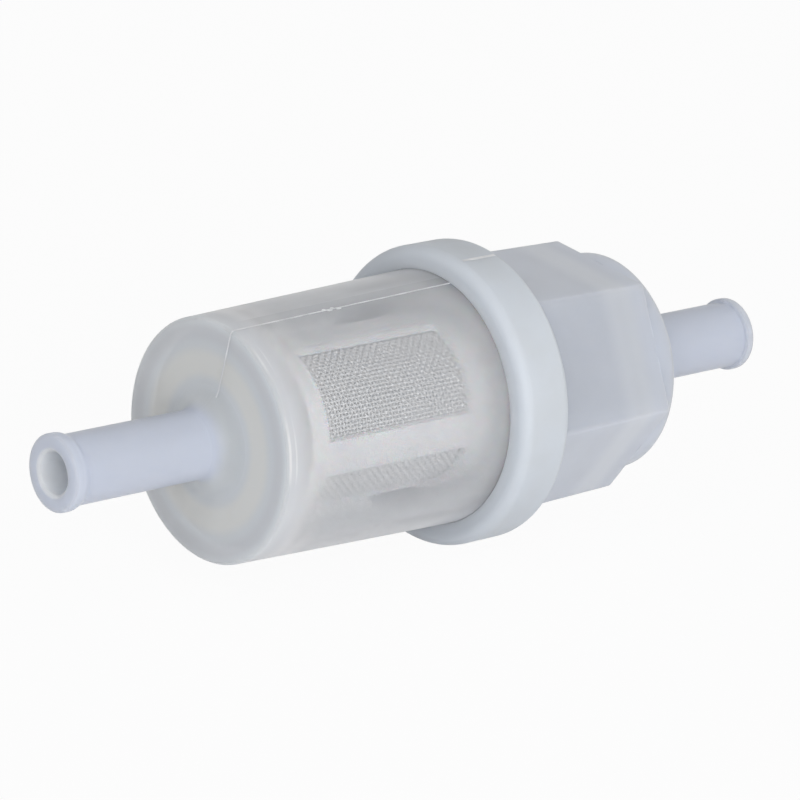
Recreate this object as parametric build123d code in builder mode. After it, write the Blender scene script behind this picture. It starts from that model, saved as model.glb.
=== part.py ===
"""In-line fuel filter: two translucent moulded housings, a joint collar and a woven screen in a cage.

Millimetres. +X runs along the flow, from the inlet nipple to the outlet nipple. +Z passes through
a flat of the six-sided outlet housing. The origin is on the axis, half way along the filter.
"""

from build123d import *
import os
from math import isclose

os.makedirs("parts", exist_ok=True)

# ---- Driving dimensions --------------------------------------------------------------------

# Hose nipples
tube_radius = 4.0
bore_radius = 2.45
mouth_chamfer = 0.35
bead_radius = 4.42
inlet_nipple_length = 21.7
inlet_bead_edge = 0.4
inlet_bead_land = 0.6
inlet_bead_blend = 1.4
inlet_root_fillet = 2.6
outlet_nipple_length = 22.2
outlet_bead_edge = 0.25
outlet_bead_land = 0.6
outlet_bead_blend = 0.4
outlet_root_fillet = 1.5

# Inlet housing: a round bowl that widens towards the joint
bowl_length = 32.12
bowl_front_radius = 14.1
bowl_rear_radius = 15.0
bowl_wall = 1.4
bowl_end_wall = 1.8
bowl_rim_fillet = 0.45
bowl_inner_fillet = 1.2

# Outlet housing: a six-sided cap that narrows towards a round end disc
cap_length = 18.9
cap_root_across_flats = 26.8
cap_end_across_flats = 26.1
cap_corner_fillet = 0.6
cap_wall = 1.4
cap_end_wall = 1.8
cap_end_fillet = 0.4
end_disc_radius = 13.1
end_disc_thickness = 2.3
end_disc_fillet = 0.35

# Joint: both housings and the screen end in a flange, and the collar is moulded round all three
flange_radius = 16.3
inlet_flange_thickness = 1.5
outlet_flange_thickness = 1.5
collar_radius = 17.73
collar_lip = 1.43
collar_front_fillet = 1.3
collar_rear_fillet = 1.0
collar_clearance = 0.05

# Screen: a cage of four ribs, closed at its inlet end, with a sleeve of woven mesh inside it
screen_flange_thickness = 1.2
cage_radius = 10.4
cage_wall = 0.9
cage_length = 28.3
cage_end_thickness = 1.2
cage_front_ring = 1.2
cage_rear_ring = 4.6
cage_edge_fillet = 0.4
rib_count = 4
rib_width = 4.2
rib_turn = -1.6
mesh_thickness = 0.3
mesh_clearance = 0.05

# ---- Stations along X, worked out from the lengths above --------------------------------------

collar_width = (
    2 * collar_lip + inlet_flange_thickness + screen_flange_thickness + outlet_flange_thickness
)
overall_length = (
    inlet_nipple_length
    + bowl_length
    + collar_width
    + cap_length
    + end_disc_thickness
    + outlet_nipple_length
)
inlet_tip_x = -overall_length / 2
inlet_face_x = inlet_tip_x + inlet_nipple_length
collar_front_x = inlet_face_x + bowl_length
inlet_flange_x = collar_front_x + collar_lip
screen_flange_x = inlet_flange_x + inlet_flange_thickness
outlet_flange_x = screen_flange_x + screen_flange_thickness
outlet_flange_end_x = outlet_flange_x + outlet_flange_thickness
collar_rear_x = collar_front_x + collar_width
cap_end_x = collar_rear_x + cap_length
disc_end_x = cap_end_x + end_disc_thickness
outlet_tip_x = disc_end_x + outlet_nipple_length
cage_front_x = screen_flange_x - cage_length

bowl_taper = (bowl_rear_radius - bowl_front_radius) / bowl_length
cap_taper = (cap_root_across_flats - cap_end_across_flats) / 2 / cap_length


# ---- Helpers -------------------------------------------------------------------------------


def ring_edges(part, at_x, radius):
    """The round edges of a part that lie at one station and have one radius."""
    return part.edges().filter_by(
        lambda edge: edge.geom_type == GeomType.CIRCLE
        and isclose(edge.arc_center.X, at_x, abs_tol=1e-4)
        and isclose(edge.radius, radius, abs_tol=1e-4)
    )


def tube(from_x, to_x, radius, mode=Mode.ADD):
    """A round bar on the X axis, added to or cut from the part in hand."""
    with BuildSketch(Plane.YZ.offset(from_x)) as section:
        Circle(radius)
    extrude(section.sketch, amount=to_x - from_x, mode=mode)


def hexagon_prism(from_x, from_across_flats, to_x, to_across_flats, corner, mode=Mode.ADD):
    """A six-sided bar with rounded corners, flats at +Z and -Z, that narrows from one end to the other."""
    sections = []
    for station, across_flats in ((from_x, from_across_flats), (to_x, to_across_flats)):
        with BuildSketch(Plane.YZ.offset(station)) as section:
            RegularPolygon(across_flats / 2, 6, major_radius=False)
            fillet(section.vertices(), corner)
        sections.append(section.sketch)
    loft(sections, ruled=True, mode=mode)


def nipple(root_x, tip_x, edge, land, blend):
    """The outside of a hose nipple: a plain tube with a raised bead round its tip."""
    inward = 1 if tip_x < root_x else -1
    land_x = tip_x + inward * edge
    blend_x = land_x + inward * land
    tube_x = blend_x + inward * blend
    middle = ((blend_x + tube_x) / 2, (bead_radius + tube_radius) / 2)
    with BuildSketch(Plane.XZ) as outline:
        with BuildLine():
            Polyline((root_x, 0), (tip_x, 0), (tip_x, bead_radius - edge))
            RadiusArc((tip_x, bead_radius - edge), (land_x, bead_radius), inward * edge)
            Line((land_x, bead_radius), (blend_x, bead_radius))
            crest = TangentArc((blend_x, bead_radius), middle, tangent=(inward, 0))
            TangentArc(middle, (tube_x, tube_radius), tangent=crest % 1)
            Polyline((tube_x, tube_radius), (root_x, tube_radius), (root_x, 0))
        make_face()
    revolve(outline.sketch, axis=Axis.X)


def save(piece, name):
    """Label a finished piece and write it under its own name."""
    piece.part.label = name
    export_step(piece.part, f"parts/{name}.step")


# ---- Inlet housing -------------------------------------------------------------------------

bowl_floor_x = inlet_face_x + bowl_end_wall
bowl_end_x = inlet_flange_x + inlet_flange_thickness
bowl_bore_front = bowl_front_radius + bowl_taper * bowl_end_wall - bowl_wall
bowl_bore_rear = bowl_front_radius + bowl_taper * (bowl_end_x - inlet_face_x) - bowl_wall
bowl_radius_at_flange = bowl_front_radius + bowl_taper * (inlet_flange_x - inlet_face_x)

with BuildPart() as inlet_housing:
    with BuildSketch(Plane.XZ):
        with BuildLine():
            Polyline(
                (inlet_face_x, 0),
                (inlet_face_x, bowl_front_radius),
                (inlet_flange_x, bowl_radius_at_flange),
                (inlet_flange_x, flange_radius),
                (bowl_end_x, flange_radius),
                (bowl_end_x, 0),
                close=True,
            )
        make_face()
    revolve(axis=Axis.X)
    fillet(ring_edges(inlet_housing, inlet_face_x, bowl_front_radius), bowl_rim_fillet)
    nipple(inlet_face_x, inlet_tip_x, inlet_bead_edge, inlet_bead_land, inlet_bead_blend)
    fillet(ring_edges(inlet_housing, inlet_face_x, tube_radius), inlet_root_fillet)
    with BuildSketch(Plane.XZ):
        with BuildLine():
            Polyline(
                (bowl_floor_x, 0),
                (bowl_floor_x, bowl_bore_front),
                (bowl_end_x, bowl_bore_rear),
                (bowl_end_x, 0),
                close=True,
            )
        make_face()
    revolve(axis=Axis.X, mode=Mode.SUBTRACT)
    fillet(ring_edges(inlet_housing, bowl_floor_x, bowl_bore_front), bowl_inner_fillet)
    tube(inlet_tip_x, bowl_floor_x, bore_radius, mode=Mode.SUBTRACT)
    chamfer(ring_edges(inlet_housing, inlet_tip_x, bore_radius), mouth_chamfer)
save(inlet_housing, "inlet_housing")

# ---- Outlet housing ------------------------------------------------------------------------

cap_floor_x = cap_end_x - cap_end_wall
cap_inner_root = cap_root_across_flats - 2 * cap_wall
cap_inner_end = cap_end_across_flats + 2 * cap_taper * cap_end_wall - 2 * cap_wall
cap_root_x = collar_rear_x
cap_hidden_length = cap_root_x - outlet_flange_x

with BuildPart() as outlet_housing:
    hexagon_prism(
        outlet_flange_x,
        cap_root_across_flats + 2 * cap_taper * cap_hidden_length,
        cap_end_x,
        cap_end_across_flats,
        cap_corner_fillet,
    )
    fillet(outlet_housing.faces().sort_by(Axis.X)[-1].edges(), cap_end_fillet)
    tube(cap_end_x - cap_end_fillet, disc_end_x, end_disc_radius)
    fillet(ring_edges(outlet_housing, disc_end_x, end_disc_radius), end_disc_fillet)
    tube(outlet_flange_x, outlet_flange_end_x, flange_radius)
    nipple(disc_end_x, outlet_tip_x, outlet_bead_edge, outlet_bead_land, outlet_bead_blend)
    fillet(ring_edges(outlet_housing, disc_end_x, tube_radius), outlet_root_fillet)
    hexagon_prism(
        outlet_flange_x,
        cap_inner_root + 2 * cap_taper * cap_hidden_length,
        cap_floor_x,
        cap_inner_end,
        cap_corner_fillet,
        mode=Mode.SUBTRACT,
    )
    tube(cap_floor_x, outlet_tip_x, bore_radius, mode=Mode.SUBTRACT)
    chamfer(ring_edges(outlet_housing, outlet_tip_x, bore_radius), mouth_chamfer)
save(outlet_housing, "outlet_housing")

# ---- Joint collar --------------------------------------------------------------------------

bowl_radius_at_collar = bowl_front_radius + bowl_taper * (collar_front_x - inlet_face_x)

with BuildPart() as joint_collar:
    tube(collar_front_x, collar_rear_x, collar_radius)
    fillet(ring_edges(joint_collar, collar_front_x, collar_radius), collar_front_fillet)
    fillet(ring_edges(joint_collar, collar_rear_x, collar_radius), collar_rear_fillet)
    tube(inlet_flange_x, outlet_flange_end_x, flange_radius + collar_clearance, mode=Mode.SUBTRACT)
    with BuildSketch(Plane.XZ):
        with BuildLine():
            Polyline(
                (collar_front_x, 0),
                (collar_front_x, bowl_radius_at_collar + collar_clearance),
                (inlet_flange_x, bowl_radius_at_flange + collar_clearance),
                (inlet_flange_x, 0),
                close=True,
            )
        make_face()
    revolve(axis=Axis.X, mode=Mode.SUBTRACT)
    hexagon_prism(
        outlet_flange_end_x,
        cap_root_across_flats + 2 * cap_taper * collar_lip + 2 * collar_clearance,
        collar_rear_x,
        cap_root_across_flats + 2 * collar_clearance,
        cap_corner_fillet,
        mode=Mode.SUBTRACT,
    )
save(joint_collar, "joint_collar")

# ---- Screen cage ---------------------------------------------------------------------------

cage_bore = cage_radius - cage_wall
cage_floor_x = cage_front_x + cage_end_thickness
window_front_x = cage_floor_x + cage_front_ring
window_rear_x = screen_flange_x - cage_rear_ring

with BuildPart() as screen_cage:
    tube(cage_front_x, cage_floor_x, cage_radius)
    fillet(ring_edges(screen_cage, cage_front_x, cage_radius), cage_edge_fillet)
    tube(cage_floor_x, outlet_flange_x, cage_radius)
    tube(screen_flange_x, outlet_flange_x, flange_radius)
    tube(cage_floor_x, outlet_flange_x, cage_bore, mode=Mode.SUBTRACT)
    with BuildSketch(Plane.YZ.offset(window_front_x)):
        Circle(cage_radius + cage_wall)
        with PolarLocations(0, rib_count, start_angle=rib_turn):
            Rectangle(
                2 * cage_radius,
                rib_width,
                align=(Align.MIN, Align.CENTER),
                mode=Mode.SUBTRACT,
            )
    extrude(amount=window_rear_x - window_front_x, mode=Mode.SUBTRACT)
save(screen_cage, "screen_cage")

# ---- Woven screen --------------------------------------------------------------------------

mesh_radius = cage_bore - mesh_clearance

with BuildPart() as screen_mesh:
    tube(cage_floor_x, outlet_flange_x, mesh_radius)
    tube(cage_floor_x, outlet_flange_x, mesh_radius - mesh_thickness, mode=Mode.SUBTRACT)
save(screen_mesh, "screen_mesh")

print(f"overall length {overall_length:.2f}, collar width {collar_width:.2f}")
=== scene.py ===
"""Looks of the in-line fuel filter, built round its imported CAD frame.

Everything is in metres and in the part's own frame: +X runs along the flow from the inlet nipple to
the outlet nipple, and +Z points out through a flat of the six-sided outlet housing.
"""

import logging
import math
from dataclasses import dataclass, field
from enum import Enum

import bmesh
import bpy
from mathutils import Matrix, Vector


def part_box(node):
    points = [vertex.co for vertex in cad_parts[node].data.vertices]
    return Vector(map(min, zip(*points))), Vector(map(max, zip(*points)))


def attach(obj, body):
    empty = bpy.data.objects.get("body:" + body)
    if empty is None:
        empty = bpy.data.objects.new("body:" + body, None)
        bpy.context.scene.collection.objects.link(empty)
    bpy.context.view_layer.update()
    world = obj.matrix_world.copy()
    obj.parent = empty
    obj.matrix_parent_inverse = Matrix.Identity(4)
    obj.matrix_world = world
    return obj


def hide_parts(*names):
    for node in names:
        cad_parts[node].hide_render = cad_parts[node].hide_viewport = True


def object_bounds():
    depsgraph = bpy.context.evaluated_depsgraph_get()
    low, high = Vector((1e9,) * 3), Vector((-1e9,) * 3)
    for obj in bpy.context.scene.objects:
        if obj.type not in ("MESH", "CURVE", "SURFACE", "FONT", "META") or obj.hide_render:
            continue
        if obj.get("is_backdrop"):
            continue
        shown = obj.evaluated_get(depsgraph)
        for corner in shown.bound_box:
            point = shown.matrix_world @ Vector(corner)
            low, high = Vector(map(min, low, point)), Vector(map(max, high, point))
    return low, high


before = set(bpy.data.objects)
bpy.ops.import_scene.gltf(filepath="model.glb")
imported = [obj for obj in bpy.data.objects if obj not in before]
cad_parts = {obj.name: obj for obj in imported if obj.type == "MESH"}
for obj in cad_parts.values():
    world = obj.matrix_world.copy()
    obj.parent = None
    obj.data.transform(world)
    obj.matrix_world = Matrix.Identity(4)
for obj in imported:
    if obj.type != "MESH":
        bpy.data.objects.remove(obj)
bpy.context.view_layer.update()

logging.basicConfig(level=logging.INFO, format="%(message)s")
log = logging.getLogger("fuel_filter")

MM = 0.001
Colour = tuple[float, float, float]
Pair = tuple[float, float]
Span = Pair

INLET_FACE = -30.44 * MM
OUTLET_FACE = 29.94 * MM
BOWL_FRONT_RADIUS = 14.1 * MM
BOWL_REAR_RADIUS = 15.0 * MM
NIPPLE_RADIUS = 4.0 * MM
SOFT_COLOUR_SPREAD = (1.0, 1.05, 1.1)
WHITE = (1.0, 1.0, 1.0, 1.0)


class Side(Enum):
    """Which side of the axis the mould's parting line is on."""

    TOP = "parting_line_top"
    BOTTOM = "parting_line_bottom"


# ---- Shader workbench ------------------------------------------------------------------------


class Signal:
    """One number that varies over a surface: a node socket with arithmetic on it."""

    def __init__(self, tree: bpy.types.NodeTree, socket: bpy.types.NodeSocket) -> None:
        """Wrap a socket.

        Args:
            tree: The node tree that the socket is in.
            socket: An output socket.
        """
        self.tree = tree
        self.socket = socket

    def _maths(self, operation: str, *values: "Signal | float", clamp: bool = False) -> "Signal":
        """Add a Math node.

        Args:
            operation: The Math node's operation.
            values: Its inputs, in order.
            clamp: Whether the result is held between 0 and 1.

        Returns:
            The node's result.
        """
        node = self.tree.nodes.new("ShaderNodeMath")
        node.operation = operation
        node.use_clamp = clamp
        for socket, value in zip(node.inputs, values):
            if isinstance(value, Signal):
                self.tree.links.new(value.socket, socket)
            else:
                socket.default_value = value
        return Signal(self.tree, node.outputs[0])

    def __add__(self, other: "Signal | float") -> "Signal":
        """This plus other."""
        return self._maths("ADD", self, other)

    def __radd__(self, other: float) -> "Signal":
        """Other plus this."""
        return self._maths("ADD", other, self)

    def __sub__(self, other: "Signal | float") -> "Signal":
        """This minus other."""
        return self._maths("SUBTRACT", self, other)

    def __rsub__(self, other: float) -> "Signal":
        """Other minus this."""
        return self._maths("SUBTRACT", other, self)

    def __mul__(self, other: "Signal | float") -> "Signal":
        """This times other."""
        return self._maths("MULTIPLY", self, other)

    def __rmul__(self, other: float) -> "Signal":
        """Other times this."""
        return self._maths("MULTIPLY", other, self)

    def __truediv__(self, other: "Signal | float") -> "Signal":
        """This over other."""
        return self._maths("DIVIDE", self, other)

    def __rtruediv__(self, other: float) -> "Signal":
        """Other over this."""
        return self._maths("DIVIDE", other, self)

    def __pow__(self, other: "Signal | float") -> "Signal":
        """This to the power of other."""
        return self._maths("POWER", self, other)

    def __rpow__(self, other: float) -> "Signal":
        """Other to the power of this."""
        return self._maths("POWER", other, self)

    def clamped(self) -> "Signal":
        """This, held between 0 and 1."""
        return self._maths("ADD", self, 0.0, clamp=True)

    def at_least(self, other: "Signal | float") -> "Signal":
        """The larger of this and other."""
        return self._maths("MAXIMUM", self, other)

    def size(self) -> "Signal":
        """This without its sign."""
        return self._maths("ABSOLUTE", self)

    def step(self, low: float, high: float) -> "Signal":
        """A smooth rise from 0 where this is low to 1 where it is high.

        Args:
            low: Where the rise starts.
            high: Where it ends. It may be lower than low, for a fall.

        Returns:
            The rise, from 0 to 1.
        """
        share = ((self - low) / (high - low)).clamped()
        return share * share * (3.0 - 2.0 * share)


class Bench:
    """A material or the world in the making: its tree, and the few ways that nodes are put into it."""

    def __init__(self, owner: bpy.types.Material | bpy.types.World) -> None:
        """Start with an empty tree.

        Args:
            owner: The material or the world that the nodes are for.
        """
        owner.use_nodes = True
        self.tree = owner.node_tree
        self.tree.nodes.clear()
        self.owner = owner

    @classmethod
    def material(cls, name: str) -> "Bench":
        """Start a new material."""
        return cls(bpy.data.materials.new(name))

    def node(
        self,
        kind: str,
        settings: dict[str, object] | None = None,
        inputs: dict[str | int, object] | None = None,
    ) -> bpy.types.Node:
        """Add any node.

        Args:
            kind: The node's type.
            settings: Its own properties, which are set first.
            inputs: Values, signals or sockets for its inputs, by name or number.

        Returns:
            The node.
        """
        node = self.tree.nodes.new(kind)
        for key, value in (settings or {}).items():
            setattr(node, key, value)
        for key, value in (inputs or {}).items():
            if isinstance(value, Signal):
                value = value.socket
            if isinstance(value, bpy.types.NodeSocket):
                self.tree.links.new(value, node.inputs[key])
            else:
                node.inputs[key].default_value = value
        return node

    def signal(self, node: bpy.types.Node, output: str | int = 0) -> Signal:
        """An output of a node as a signal."""
        return Signal(self.tree, node.outputs[output])

    def place(self) -> tuple[Signal, Signal, Signal]:
        """The place on the piece.

        Returns:
            X, Y and Z, in metres.
        """
        coordinates = self.node("ShaderNodeTexCoord").outputs["Object"]
        split = self.node("ShaderNodeSeparateXYZ", inputs={0: coordinates})
        return self.signal(split, "X"), self.signal(split, "Y"), self.signal(split, "Z")

    def noise(self, scale: float, detail: float = 2.0, roughness: float = 0.5) -> Signal:
        """Cloudy noise from 0 to 1.

        Args:
            scale: Cells per metre.
            detail: Octaves.
            roughness: How strong the finer octaves are.

        Returns:
            The noise.
        """
        coordinates = self.node("ShaderNodeTexCoord").outputs["Object"]
        node = self.node(
            "ShaderNodeTexNoise",
            inputs={"Vector": coordinates, "Scale": scale, "Detail": detail, "Roughness": roughness},
        )
        return self.signal(node, 0)

    def rings(self, radius: Signal, scale: float) -> Signal:
        """Uneven rings round the axis, as a mould's turned face leaves them.

        Args:
            radius: The distance from the axis, in metres.
            scale: Rings per metre.

        Returns:
            The rings, from 0 to 1.
        """
        node = self.node(
            "ShaderNodeTexNoise",
            settings={"noise_dimensions": "1D"},
            inputs={"W": radius * scale, "Scale": 1.0, "Detail": 1.0},
        )
        return self.signal(node, 0)

    def blend(
        self,
        share: "Signal | float",
        first: Colour | bpy.types.NodeSocket,
        second: Colour | bpy.types.NodeSocket,
    ) -> bpy.types.NodeSocket:
        """Mix two colours.

        Args:
            share: How much of the second, from 0 to 1.
            first: The colour where share is 0.
            second: The colour where share is 1.

        Returns:
            The mixed colour.
        """
        ends = [(*c, 1.0) if isinstance(c, tuple) else c for c in (first, second)]
        node = self.node(
            "ShaderNodeMix",
            settings={"data_type": "RGBA"},
            inputs={0: share, 6: ends[0], 7: ends[1]},
        )
        return node.outputs[2]

    def bump(self, height: Signal, distance: float, strength: float) -> bpy.types.NodeSocket:
        """A normal from a height.

        Args:
            height: The height, from 0 to 1.
            distance: What a height of 1 stands for, in metres.
            strength: How much of it is used.

        Returns:
            The normal.
        """
        node = self.node(
            "ShaderNodeBump",
            inputs={"Height": height, "Distance": distance, "Strength": strength},
        )
        return node.outputs[0]

    def finish(self, shader: bpy.types.Node) -> bpy.types.Material:
        """Put a shader on the surface.

        Args:
            shader: The last shader node.

        Returns:
            The finished material.
        """
        self.node("ShaderNodeOutputMaterial", inputs={"Surface": shader.outputs[0]})
        return self.owner

    def lit_backdrop(self) -> Signal:
        """The rays that should see plain white: from the camera, off gloss and through glass.

        Returns:
            1 for those rays, 0 for the rest.
        """
        rays = self.node("ShaderNodeLightPath")
        seen = self.signal(rays, "Is Camera Ray")
        for kind in ("Is Glossy Ray", "Is Transmission Ray"):
            seen = seen.at_least(self.signal(rays, kind))
        return seen


# ---- Finishes --------------------------------------------------------------------------------


@dataclass(frozen=True)
class MilkyHousing:
    """Natural, milky moulded plastic of a housing: thin side wall, thicker end wall and nipple.

    The thinner the plastic, the more of the screen shows through. The nipple is thick for its
    width, so it is nearly opaque and bluer. Spans are measured outward from the end face along X,
    from the inside of the end wall for the painted glow band, or from the axis. The side wall has a
    lighter band of painted glow just inside the end wall. The end face has painted light on it: a
    lighter, warmer ring, and a darker ring of painted shadow where the bowl's inner corner lies
    behind it. Two thin broken lines of painted highlight run along the rim of the end face, only on
    its upper -Y side. Each cover is what share of the inside a wall hides when looked at squarely. A
    wall's two faces hide half of it each, and more where they are seen at a slant.
    """

    end_x: float
    outward: float
    end_wall: float
    side: Colour = (0.67, 0.685, 0.715)
    end: Colour = (0.65, 0.68, 0.71)
    # Colour of the painted light ring on the end face.
    painted_warm_glow: Colour = (0.725, 0.73, 0.71)
    shade: Colour = (0.60, 0.615, 0.645)
    thick: Colour = (0.57, 0.61, 0.72)
    lit_bore: Colour = (0.74, 0.77, 0.82)
    # Colour of the painted glow band on the side wall.
    band: Colour = (0.77, 0.78, 0.81)
    # Colour of the painted highlight lines along the end face's rim.
    rim_highlight_colour: Colour = (0.97, 0.98, 0.99)
    nipple_start: Span = (0.5 * MM, 2.4 * MM)
    nipple_edge: Span = (8.0 * MM, 5.0 * MM)
    bore_edge: Span = (3.0 * MM, 2.6 * MM)
    end_start: float = -3.2 * MM
    end_full: float = 0.6 * MM
    band_start: Span = (-6.4 * MM, -3.6 * MM)
    band_end: Span = (0.2 * MM, -2.2 * MM)
    glow_ring_inner: Span = (6.8 * MM, 8.2 * MM)
    glow_ring_outer: Span = (11.2 * MM, 9.6 * MM)
    corner_shadow_inner: Span = (11.0 * MM, 12.2 * MM)
    corner_shadow_outer: Span = (13.6 * MM, 12.8 * MM)
    face_start: Span = (-0.6 * MM, -0.1 * MM)
    rim_radius: Span = (13.3 * MM, 13.7 * MM)
    first_line: float = 0.32 * MM
    first_line_edge: Span = (0.2 * MM, 0.05 * MM)
    second_line: float = 1.15 * MM
    second_line_edge: Span = (0.16 * MM, 0.04 * MM)
    highlight_arc_height: Span = (-3.0 * MM, 3.0 * MM)
    highlight_arc_side: Span = (-4.0 * MM, -8.0 * MM)
    side_cover: float = 0.33
    end_cover: float = 0.9
    nipple_cover: float = 0.97
    share_per_face: float = 0.5
    edge_gain: float = 4.0
    edge_power: float = 3.0
    edge_limit: float = 1.02
    gloss: float = 0.3

    def make(self, name: str) -> bpy.types.Material:
        """Build the material.

        Args:
            name: The material's name.

        Returns:
            The material.
        """
        bench = Bench.material(name)
        x, y, z = bench.place()
        radius = (y * y + z * z) ** 0.5
        beyond = (x - self.end_x) * self.outward
        cloud = bench.noise(scale=90.0, detail=3.0, roughness=0.55)
        fine = bench.noise(scale=900.0, detail=2.0, roughness=0.5)
        nipple = beyond.step(*self.nipple_start) * radius.step(*self.nipple_edge)
        end = beyond.step(self.end_start - self.end_wall, self.end_full - self.end_wall)
        inner = beyond + self.end_wall
        # Painted glow: a lighter band on the side wall just inside the end wall, standing in for light
        # that the thick end wall scatters there.
        band = inner.step(*self.band_start) * inner.step(*self.band_end)
        side = bench.blend(cloud.step(0.3, 0.8) * 0.7, self.side, self.shade)
        side = bench.blend(band, side, self.band)
        # Painted light: a lighter, warmer ring on the end face, where light comes through the end wall.
        ring = radius.step(*self.glow_ring_inner) * radius.step(*self.glow_ring_outer)
        # Painted shadow: a darker ring on the end face where the bowl's inner corner lies behind it, in
        # the shade colour.
        painted_corner_shadow = radius.step(*self.corner_shadow_inner) * radius.step(*self.corner_shadow_outer)
        face = bench.blend(ring * 0.9, self.end, self.painted_warm_glow)
        face = bench.blend(painted_corner_shadow * 0.8, face, self.shade)
        colour = bench.blend(beyond.step(*self.face_start), side, face)
        # Painted highlight: two thin broken lighter lines along the end face's rim, only on its upper -Y
        # side.
        first = (beyond + self.first_line).size().step(*self.first_line_edge)
        second = (beyond + self.second_line).size().step(*self.second_line_edge)
        broken = bench.noise(scale=70.0, detail=1.0).step(0.47, 0.6)
        highlight_arc = z.step(*self.highlight_arc_height) * y.step(*self.highlight_arc_side)
        worn = (first + second * 0.6).clamped() * radius.step(*self.rim_radius)
        colour = bench.blend(worn * broken * highlight_arc * 0.8, colour, self.rim_highlight_colour)
        colour = bench.blend(nipple, colour, self.thick)
        colour = bench.blend(nipple * radius.step(*self.bore_edge), colour, self.lit_bore)
        cover = self.side_cover + end * (self.end_cover - self.side_cover)
        cover = cover + nipple * (self.nipple_cover - self.end_cover)
        weight = bench.node("ShaderNodeLayerWeight", inputs={"Blend": 0.5})
        slant = bench.signal(weight, "Facing")
        path = (1.0 + self.edge_gain * slant**self.edge_power) / (self.edge_limit - slant)
        alpha = 1.0 - (1.0 - cover) ** (self.share_per_face * path)
        shader = bench.node(
            "ShaderNodeBsdfPrincipled",
            inputs={
                "Base Color": colour,
                "Roughness": self.gloss + 0.1 * cloud,
                "Alpha": alpha,
                "IOR": 1.5,
                "Specular IOR Level": 0.08,
                "Coat Weight": 0.16,
                "Coat Roughness": 0.13,
                "Subsurface Weight": 0.8,
                "Subsurface Radius": SOFT_COLOUR_SPREAD,
                "Subsurface Scale": 4.0 * MM,
                "Normal": bench.bump(cloud * 0.85 + fine * 0.15, distance=0.25 * MM, strength=0.12),
            },
        )
        return bench.finish(shader)


@dataclass(frozen=True)
class CollarPlastic:
    """The same plastic where the collar makes it thick: nearly opaque and cold white, with painted shade
    darkening its front face.
    """

    body: Colour = (0.635, 0.68, 0.74)
    shade: Colour = (0.605, 0.64, 0.68)
    # Painted shade: the darker colour of the collar's front face.
    face: Colour = (0.595, 0.635, 0.69)
    painted_shade_front: Span = (3.4 * MM, 1.7 * MM)
    rings_per_metre: float = 2600.0
    gloss: float = 0.42

    def make(self, name: str) -> bpy.types.Material:
        """Build the material.

        Args:
            name: The material's name.

        Returns:
            The material.
        """
        bench = Bench.material(name)
        cloud = bench.noise(scale=110.0, detail=3.0, roughness=0.5)
        scuff = bench.noise(scale=1500.0, detail=3.0, roughness=0.6)
        x, y, z = bench.place()
        colour = bench.blend(cloud.step(0.3, 0.75), self.body, self.shade)
        # Painted shade: the front face is darker than the rest of the collar.
        colour = bench.blend(x.step(*self.painted_shade_front), colour, self.face)
        rings = bench.rings((y * y + z * z) ** 0.5, self.rings_per_metre)
        height = cloud * 0.6 + scuff * 0.1 + rings * 0.3
        shader = bench.node(
            "ShaderNodeBsdfPrincipled",
            inputs={
                "Base Color": colour,
                "Roughness": self.gloss + 0.12 * cloud,
                "IOR": 1.5,
                "Specular IOR Level": 0.3,
                "Subsurface Weight": 0.6,
                "Subsurface Radius": SOFT_COLOUR_SPREAD,
                "Subsurface Scale": 3.0 * MM,
                "Normal": bench.bump(height, distance=0.25 * MM, strength=0.14),
            },
        )
        return bench.finish(shader)


@dataclass(frozen=True)
class CagePlastic:
    """White, slightly waxy plastic of the screen's cage."""

    body: Colour = (0.92, 0.92, 0.93)
    shade: Colour = (0.86, 0.86, 0.86)

    def make(self, name: str) -> bpy.types.Material:
        """Build the material.

        Args:
            name: The material's name.

        Returns:
            The material.
        """
        bench = Bench.material(name)
        cloud = bench.noise(scale=300.0, detail=3.0, roughness=0.5)
        shader = bench.node(
            "ShaderNodeBsdfPrincipled",
            inputs={
                "Base Color": bench.blend(cloud.step(0.3, 0.75), self.body, self.shade),
                "Roughness": 0.45 + 0.1 * cloud,
                "Subsurface Weight": 0.3,
                "Subsurface Scale": 0.6 * MM,
                "Normal": bench.bump(cloud, distance=0.1 * MM, strength=0.15),
            },
        )
        return bench.finish(shader)


@dataclass(frozen=True)
class ScreenThread:
    """Fine plastic thread of the woven screen, with painted highlight on the knuckles that stand out and
    painted shade down in the weave.
    """

    painted_knuckle_highlight: Colour = (0.99, 0.99, 0.98)
    painted_hollow_shade: Colour = (0.62, 0.62, 0.61)
    top: float = 9.42 * MM
    relief: float = 0.18 * MM

    def make(self, name: str) -> bpy.types.Material:
        """Build the material.

        Args:
            name: The material's name.

        Returns:
            The material.
        """
        bench = Bench.material(name)
        grain = bench.noise(scale=2500.0, detail=2.0, roughness=0.5)
        _, y, z = bench.place()
        # Painted highlight and painted shade: lighter where the thread stands out, darker where it lies
        # deep in the weave.
        height = ((y * y + z * z) ** 0.5).step(self.top - self.relief, self.top)
        shader = bench.node(
            "ShaderNodeBsdfPrincipled",
            inputs={
                "Base Color": bench.blend(height, self.painted_hollow_shade, self.painted_knuckle_highlight),
                "Roughness": 0.4 + 0.2 * grain,
            },
        )
        return bench.finish(shader)


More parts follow.
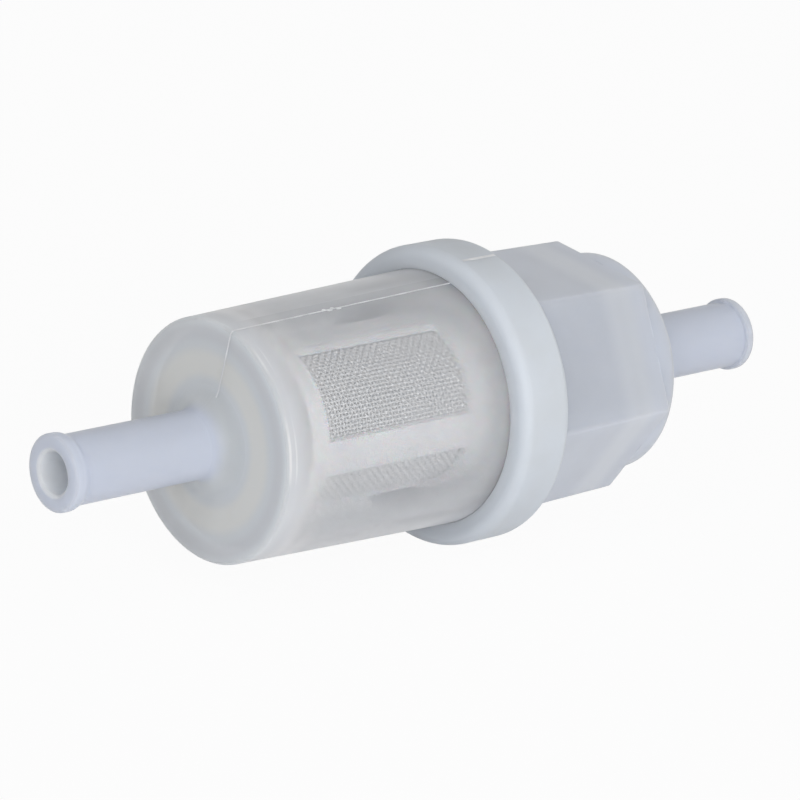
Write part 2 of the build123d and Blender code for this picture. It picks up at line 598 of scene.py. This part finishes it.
@dataclass(frozen=True)
class FlashPlastic:
    """Thin flash of the housing plastic, painted paler in broken patches as a highlight where it catches
    the light.
    """

    body: Colour = (0.80, 0.81, 0.83)
    dull: Colour = (0.62, 0.63, 0.65)

    def make(self, name: str) -> bpy.types.Material:
        """Build the material.

        Args:
            name: The material's name.

        Returns:
            The material.
        """
        bench = Bench.material(name)
        # Painted highlight: the paler patches of the flash.
        broken = bench.noise(scale=420.0, detail=2.0, roughness=0.5)
        shader = bench.node(
            "ShaderNodeBsdfPrincipled",
            inputs={
                "Base Color": bench.blend(broken.step(0.35, 0.65), self.body, self.dull),
                "Roughness": 0.25 + 0.2 * broken,
            },
        )
        return bench.finish(shader)


@dataclass(frozen=True)
class PaleFloor:
    """Plain pale floor that reads as white and keeps the shadow."""

    colour: Colour = (0.74, 0.74, 0.75)
    glow_share: float = 0.95

    def make(self, name: str) -> bpy.types.Material:
        """Build the material.

        Args:
            name: The material's name.

        Returns:
            The material.
        """
        bench = Bench.material(name)
        matt = bench.node(
            "ShaderNodeBsdfDiffuse", inputs={"Color": (*self.colour, 1.0), "Roughness": 0.0}
        )
        glow = bench.node("ShaderNodeEmission", inputs={"Color": WHITE, "Strength": 1.0})
        share = bench.lit_backdrop() * self.glow_share
        mixed = bench.node(
            "ShaderNodeMixShader", inputs={0: share, 1: matt.outputs[0], 2: glow.outputs[0]}
        )
        return bench.finish(mixed)


# ---- Mesh helpers ----------------------------------------------------------------------------


def piece_from(mesh: bmesh.types.BMesh, name: str, smooth: bool = True) -> bpy.types.Object:
    """Turn a bmesh into an object that rides on the part and has its origin at the part's.

    Args:
        mesh: The shape, which is freed.
        name: The piece's name.
        smooth: Whether its faces are shaded smooth.

    Returns:
        The object.
    """
    data = bpy.data.meshes.new(name)
    mesh.to_mesh(data)
    mesh.free()
    for face in data.polygons:
        face.use_smooth = smooth
    piece = bpy.data.objects.new(name, data)
    bpy.context.scene.collection.objects.link(piece)
    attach(piece, "root")
    return piece


def dress(piece: bpy.types.Object, material: bpy.types.Material) -> None:
    """Give every slot of a piece one material.

    Args:
        piece: The piece.
        material: The material.
    """
    if piece.material_slots:
        for slot in piece.material_slots:
            slot.material = material
    else:
        piece.data.materials.append(material)


# ---- Sub-assemblies --------------------------------------------------------------------------


@dataclass
class WovenScreen:
    """The woven sleeve inside the cage: straight threads along X, and hoops woven over and under them.

    It stands where the plain CAD sleeve is, and takes its length and radius from it.
    """

    pitch: float = 0.48 * MM
    thread_radius: float = 0.165 * MM
    weave_height: float = 0.1 * MM
    sides: int = 4
    pieces: list[bpy.types.Object] = field(default_factory=list)

    def __post_init__(self) -> None:
        """Read the sleeve's place from the frame."""
        low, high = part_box("screen_mesh")
        self.start = low.x
        self.hoops = round((high.x - low.x) / self.pitch)
        self.spacing = (high.x - low.x) / self.hoops
        self.radius = high.z - self.thread_radius - self.weave_height
        self.threads = 2 * round(math.pi * self.radius / self.pitch)

    def _thread(self, length: float, steps: int) -> bmesh.types.BMesh:
        """Make a straight thread along X from the origin.

        Args:
            length: How long it is.
            steps: How many even steps it is cut into.

        Returns:
            The thread, closed at both ends.
        """
        mesh = bmesh.new()
        bmesh.ops.create_circle(mesh, cap_ends=False, segments=self.sides, radius=self.thread_radius)
        bmesh.ops.rotate(
            mesh, cent=(0, 0, 0), matrix=Matrix.Rotation(math.pi / 2, 3, "Y"), verts=mesh.verts
        )
        ring = mesh.edges[:]
        for _ in range(steps):
            made = bmesh.ops.extrude_edge_only(mesh, edges=ring)["geom"]
            verts = [g for g in made if isinstance(g, bmesh.types.BMVert)]
            bmesh.ops.translate(mesh, vec=(length / steps, 0, 0), verts=verts)
            edges = [g for g in made if isinstance(g, bmesh.types.BMEdge)]
            ring = [edge for edge in edges if all(vert in verts for vert in edge.verts)]
        bmesh.ops.holes_fill(mesh, edges=[e for e in mesh.edges if e.is_boundary], sides=self.sides)
        bmesh.ops.recalc_face_normals(mesh, faces=mesh.faces)
        return mesh

    def build(self) -> None:
        """Weave the sleeve: one mesh of long threads and one of hoops."""
        self.pieces = [self._long_threads(), self._hoops()]
        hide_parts("screen_mesh")
        for piece in self.pieces:
            log.info("%s: %d faces", piece.name, len(piece.data.polygons))

    def _long_threads(self) -> bpy.types.Object:
        """Lay the threads that run along the filter, every other one half a wave on.

        Returns:
            The piece.
        """
        mesh = bmesh.new()
        thread = self._thread(self.hoops * self.spacing, self.hoops)
        for vert in thread.verts:
            crossing = round(vert.co.x / self.spacing)
            vert.co.z += self.radius + self.weave_height * (-1) ** crossing
        bmesh.ops.translate(thread, vec=(self.start, 0, 0), verts=thread.verts)
        pattern = bpy.data.meshes.new("thread_pattern")
        thread.to_mesh(pattern)
        for number in range(self.threads):
            count = len(mesh.verts)
            mesh.from_mesh(pattern)
            mesh.verts.ensure_lookup_table()
            new = mesh.verts[count:]
            if number % 2:
                for vert in new:
                    crossing = round((vert.co.x - self.start) / self.spacing)
                    vert.co.z -= 2 * self.weave_height * (-1) ** crossing
            angle = 2 * math.pi * number / self.threads
            bmesh.ops.rotate(mesh, cent=(0, 0, 0), matrix=Matrix.Rotation(angle, 3, "X"), verts=new)
        thread.free()
        bpy.data.meshes.remove(pattern)
        return piece_from(mesh, "screen_long_threads")

    def _hoops(self) -> bpy.types.Object:
        """Lay the threads that run round the filter, over one long thread and under the next.

        Returns:
            The piece.
        """
        mesh = bmesh.new()
        for parity in (0, 1):
            hoop = bmesh.new()
            bmesh.ops.create_circle(hoop, cap_ends=False, segments=self.sides, radius=self.thread_radius)
            for axis in "YZ":
                quarter = Matrix.Rotation(math.pi / 2, 3, axis)
                bmesh.ops.rotate(hoop, cent=(0, 0, 0), matrix=quarter, verts=hoop.verts)
            bmesh.ops.translate(hoop, vec=(0, 0, self.radius), verts=hoop.verts)
            bmesh.ops.spin(
                hoop,
                geom=hoop.verts[:] + hoop.edges[:],
                cent=(0, 0, 0),
                axis=(1, 0, 0),
                angle=2 * math.pi,
                steps=self.threads,
                use_merge=True,
            )
            for vert in hoop.verts:
                angle = math.atan2(-vert.co.y, vert.co.z) % (2 * math.pi)
                crossing = round(angle * self.threads / (2 * math.pi)) + parity
                outward = Vector((0, vert.co.y, vert.co.z)).normalized()
                vert.co -= outward * self.weave_height * (-1) ** crossing
            bmesh.ops.recalc_face_normals(hoop, faces=hoop.faces)
            pattern = bpy.data.meshes.new("hoop_pattern")
            hoop.to_mesh(pattern)
            hoop.free()
            for number in range(1 + parity, self.hoops, 2):
                count = len(mesh.verts)
                mesh.from_mesh(pattern)
                mesh.verts.ensure_lookup_table()
                x = self.start + number * self.spacing
                bmesh.ops.translate(mesh, vec=(x, 0, 0), verts=mesh.verts[count:])
            bpy.data.meshes.remove(pattern)
        return piece_from(mesh, "screen_hoops")

    def dress(self, finish: ScreenThread) -> None:
        """Give the threads their finish.

        Args:
            finish: The finish.
        """
        material = finish.make("screen_thread")
        for piece in self.pieces:
            dress(piece, material)


@dataclass
class PartingLine:
    """The thin raised line that the two halves of the mould leave on the outside of the mouldings.

    It runs from the root of the inlet nipple up the end face, over the rim, along the bowl and
    across the collar. On the bottom it is only on the bowl and the collar.
    """

    turn: float = 6.5
    width: float = 0.16 * MM
    height: float = 0.045 * MM
    collar_widening: float = 2.5
    root_fillet: float = 2.6 * MM
    root_angles: tuple[float, ...] = (70.0, 90.0)
    rim: Pair = (INLET_FACE, BOWL_FRONT_RADIUS)
    rim_fillet: float = 0.45 * MM
    rim_angles: tuple[float, ...] = (0.0, 45.0, 90.0)
    bowl_end: Pair = (1.7 * MM, BOWL_REAR_RADIUS)
    collar: Span = (2.9 * MM, 7.8 * MM)
    collar_radius: float = 17.71 * MM
    nicks: tuple[float, ...] = (-17.1 * MM, -16.4 * MM, -15.9 * MM, -15.1 * MM)
    nick_lengths: Pair = (0.3 * MM, 0.4 * MM)
    nick_width: float = 0.2 * MM
    nick_height: float = 0.11 * MM
    nick_offset: float = 0.12 * MM
    pieces: list[bpy.types.Object] = field(default_factory=list)

    def _bar(self, mesh: bmesh.types.BMesh, start: Vector, end: Vector, width: float) -> None:
        """Add one straight stretch of the line.

        Args:
            mesh: The mesh it is added to.
            start: Where it starts, with Z as the distance from the axis.
            end: Where it ends.
            width: How wide it is.
        """
        way = end - start
        bar = bmesh.ops.create_cube(mesh, size=1.0)["verts"]
        size = (way.length + self.height, width, 2 * self.height)
        bmesh.ops.scale(mesh, vec=size, verts=bar)
        turn = Vector((1, 0, 0)).rotation_difference(way).to_matrix()
        bmesh.ops.rotate(mesh, cent=(0, 0, 0), matrix=turn, verts=bar)
        bmesh.ops.translate(mesh, vec=(start + end) / 2, verts=bar)

    def _path(self) -> list[Vector]:
        """Lay out the line on the inlet housing.

        Returns:
            Its corners from the nipple to the collar, with Z as the distance from the axis.
        """
        points = []
        root = INLET_FACE - self.root_fillet
        for angle in map(math.radians, self.root_angles):
            rise = self.root_fillet * (1 - math.cos(angle))
            run = self.root_fillet * math.sin(angle)
            points.append(Vector((root + run, 0, NIPPLE_RADIUS + rise)))
        for angle in map(math.radians, self.rim_angles):
            back = self.rim_fillet * (1 - math.sin(angle))
            run = self.rim_fillet * (1 - math.cos(angle))
            points.append(Vector((self.rim[0] + run, 0, self.rim[1] - back)))
        points.append(Vector((self.bowl_end[0], 0, self.bowl_end[1])))
        return points

    def _line(self, side: Side) -> bpy.types.Object:
        """Build the line on one side of the axis.

        Args:
            side: The side. Only the top runs over the end face and has the small lumps.

        Returns:
            The piece.
        """
        mesh = bmesh.new()
        points = self._path() if side is Side.TOP else self._path()[-2:]
        for start, end in zip(points, points[1:]):
            self._bar(mesh, start, end, self.width)
        across = [Vector((x, 0, self.collar_radius)) for x in self.collar]
        self._bar(mesh, *across, self.collar_widening * self.width)
        if side is Side.TOP:
            slope = (self.bowl_end[1] - self.rim[1]) / (self.bowl_end[0] - self.rim[0])
            for number, x in enumerate(self.nicks):
                lump = bmesh.ops.create_icosphere(mesh, subdivisions=2, radius=1.0)["verts"]
                size = (self.nick_lengths[number % 2], self.nick_width, self.nick_height)
                bmesh.ops.scale(mesh, vec=size, verts=lump)
                aside = self.nick_offset * (-1) ** number
                height = self.rim[1] + slope * (x - self.rim[0])
                bmesh.ops.translate(mesh, vec=(x, aside, height), verts=lump)
        degrees = self.turn if side is Side.TOP else self.turn + 180.0
        turn = Matrix.Rotation(math.radians(degrees), 3, "X")
        bmesh.ops.rotate(mesh, cent=(0, 0, 0), matrix=turn, verts=mesh.verts)
        return piece_from(mesh, side.value, smooth=False)

    def build(self) -> None:
        """Build the line on both sides."""
        self.pieces = [self._line(side) for side in Side]
        for piece in self.pieces:
            log.info("%s: %d faces", piece.name, len(piece.data.polygons))

    def dress(self, finish: FlashPlastic) -> None:
        """Give the line its finish.

        Args:
            finish: The finish.
        """
        material = finish.make("flash_plastic")
        for piece in self.pieces:
            dress(piece, material)


@dataclass
class Mouldings:
    """The plastic mouldings whose shape the CAD frame already has."""

    def dress(self) -> None:
        """Give each moulding its finish."""
        inlet = MilkyHousing(end_x=INLET_FACE, outward=-1.0, end_wall=1.8 * MM)
        outlet = MilkyHousing(
            end_x=OUTLET_FACE,
            outward=1.0,
            end_wall=4.1 * MM,
            side=(0.63, 0.67, 0.76),
            shade=(0.575, 0.61, 0.685),
            band=(0.68, 0.72, 0.80),
            side_cover=0.84,
            end_cover=0.92,
        )
        materials = {
            "inlet_housing": inlet.make("milky_inlet_housing"),
            "outlet_housing": outlet.make("milky_outlet_housing"),
            "joint_collar": CollarPlastic().make("collar_plastic"),
            "screen_cage": CagePlastic().make("cage_plastic"),
        }
        for node, material in materials.items():
            dress(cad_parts[node], material)
            log.info("%s: dressed in %s", node, material.name)


# ---- Studio ----------------------------------------------------------------------------------


@dataclass
class Studio:
    """Pale floor, soft light and the camera."""

    azimuth: float = -43.9
    elevation: float = 22.25
    roll: float = 8.29
    distance: float = 526.73 * MM
    lens: float = 204.35
    aim: tuple[float, float, float] = (-1.05 * MM, 0.84 * MM, -0.29 * MM)
    dim_side: tuple[float, float, float] = (0.0, 0.6, 0.8)
    world_strength: Span = (0.31, 0.8)
    lamp_distance: float = 0.9
    floor_size: float = 2.0

    def floor(self) -> None:
        """Lay the floor under the lowest point."""
        low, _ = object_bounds()
        mesh = bmesh.new()
        bmesh.ops.create_grid(mesh, x_segments=1, y_segments=1, size=self.floor_size)
        bmesh.ops.translate(mesh, vec=(0, 0, low.z), verts=mesh.verts)
        data = bpy.data.meshes.new("floor")
        mesh.to_mesh(data)
        mesh.free()
        floor = bpy.data.objects.new("floor", data)
        bpy.context.scene.collection.objects.link(floor)
        dress(floor, PaleFloor().make("pale_floor"))
        floor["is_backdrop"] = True

    def softbox(
        self, name: str, azimuth: float, elevation: float, size: Pair, power: float
    ) -> None:
        """Hang a soft light that points at the part.

        Args:
            name: The lamp's name.
            azimuth: Where it hangs, in degrees, as the camera's azimuth is counted.
            elevation: How far above the horizon, in degrees.
            size: How wide and how tall it is, in metres.
            power: Its power, in watts.
        """
        lamp = bpy.data.lights.new(name, "AREA")
        lamp.shape = "RECTANGLE"
        lamp.size, lamp.size_y = size
        lamp.energy = power
        holder = bpy.data.objects.new(name, lamp)
        bpy.context.scene.collection.objects.link(holder)
        outward = direction(azimuth, elevation)
        holder.location = outward * self.lamp_distance
        holder.rotation_mode = "QUATERNION"
        holder.rotation_quaternion = outward.to_track_quat("Z", "Y")

    def light(self) -> None:
        """Hang the lamps and set the world's plain light."""
        self.softbox("key_softbox", azimuth=-28.0, elevation=18.0, size=(0.8, 0.7), power=5.4)
        self.softbox("rim_strip", azimuth=-75.0, elevation=42.0, size=(0.05, 0.6), power=0.7)
        world = bpy.data.worlds.new("studio")
        bpy.context.scene.world = world
        bench = Bench(world)
        place = bench.node("ShaderNodeTexCoord")
        above = bench.node(
            "ShaderNodeVectorMath",
            settings={"operation": "DOT_PRODUCT"},
            inputs={0: place.outputs["Generated"], 1: self.dim_side},
        )
        low, high = self.world_strength
        fade = bench.node(
            "ShaderNodeMapRange",
            inputs={
                "Value": above.outputs["Value"],
                "From Min": -1.0,
                "From Max": 1.0,
                "To Min": high,
                "To Max": low,
            },
        )
        plain = bench.node("ShaderNodeBackground", inputs={"Color": WHITE, "Strength": fade.outputs[0]})
        white = bench.node("ShaderNodeBackground", inputs={"Color": WHITE, "Strength": 1.0})
        mixed = bench.node(
            "ShaderNodeMixShader",
            inputs={0: bench.lit_backdrop(), 1: plain.outputs[0], 2: white.outputs[0]},
        )
        bench.node("ShaderNodeOutputWorld", inputs={"Surface": mixed.outputs[0]})

    def camera(self) -> None:
        """Stand the camera and aim it."""
        data = bpy.data.cameras.new("camera")
        data.lens = self.lens
        data.sensor_width = 36.0
        data.clip_start = 0.01
        data.clip_end = 20.0
        camera = bpy.data.objects.new("camera", data)
        bpy.context.scene.collection.objects.link(camera)
        back = direction(self.azimuth, self.elevation)
        level = back.to_track_quat("Z", "Y").to_matrix()
        turn = Matrix.Rotation(math.radians(self.roll), 3, "Z")
        stand = Matrix.Translation(Vector(self.aim) + back * self.distance)
        camera.matrix_world = stand @ (level @ turn).to_4x4()
        bpy.context.scene.camera = camera


def direction(azimuth: float, elevation: float) -> Vector:
    """The way from the part to a place round it.

    Args:
        azimuth: 0 is towards -Y, 90 towards +X, in degrees.
        elevation: Above the horizon, in degrees.

    Returns:
        A vector of length 1.
    """
    turn, rise = math.radians(azimuth), math.radians(elevation)
    return Vector(
        (math.sin(turn) * math.cos(rise), -math.cos(turn) * math.cos(rise), math.sin(rise))
    )


def main() -> None:
    """Build and dress every piece, then light and frame the part."""
    studio = Studio()
    studio.camera()
    Mouldings().dress()
    screen = WovenScreen()
    screen.build()
    screen.dress(ScreenThread())
    line = PartingLine()
    line.build()
    line.dress(FlashPlastic())
    studio.floor()
    studio.light()
    bpy.context.scene.view_settings.view_transform = "Standard"


if __name__ == "__main__":
    main()
